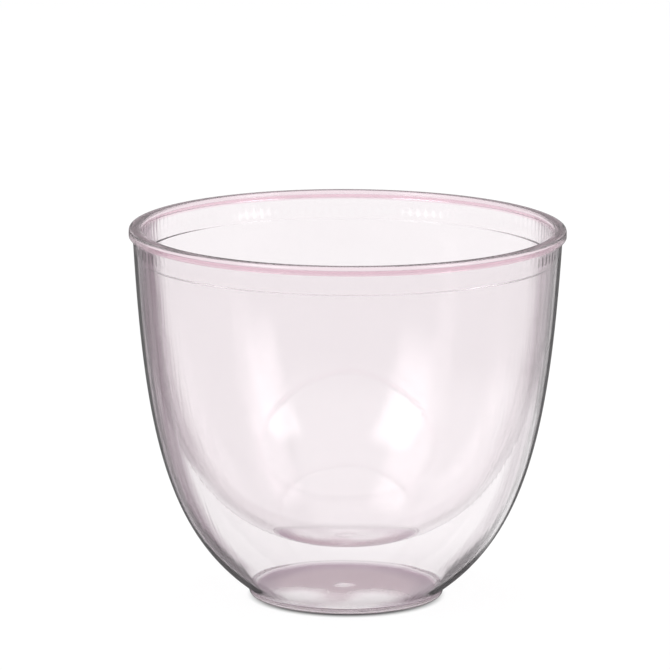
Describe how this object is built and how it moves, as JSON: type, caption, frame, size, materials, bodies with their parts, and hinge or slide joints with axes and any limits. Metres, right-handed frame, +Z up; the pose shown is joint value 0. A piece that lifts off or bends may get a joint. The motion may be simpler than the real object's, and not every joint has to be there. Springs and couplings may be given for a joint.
{
  "type": "double wall cup",
  "caption": "Clear double wall dessert cup: a round-bottomed bowl pressed into a tapered shell on a ring foot, with sealed air between the walls.",
  "frame": {"origin": "centre of the foot's underside, on the surface that the cup stands on", "axes": "+Z up along the cup's axis; X and Y are free, because the cup is round"},
  "size_m": [0.065, 0.065, 0.0557],
  "materials": {
    "shell_clear": "clear moulded polystyrene, polished, with a satin foot and recess",
    "bowl_clear": "clear moulded polystyrene, polished, with fine upright ribs round its collar"
  },
  "bodies": {
    "root": {"outer_shell": "shell_clear", "inner_bowl": "bowl_clear"}
  },
  "joints": []
}
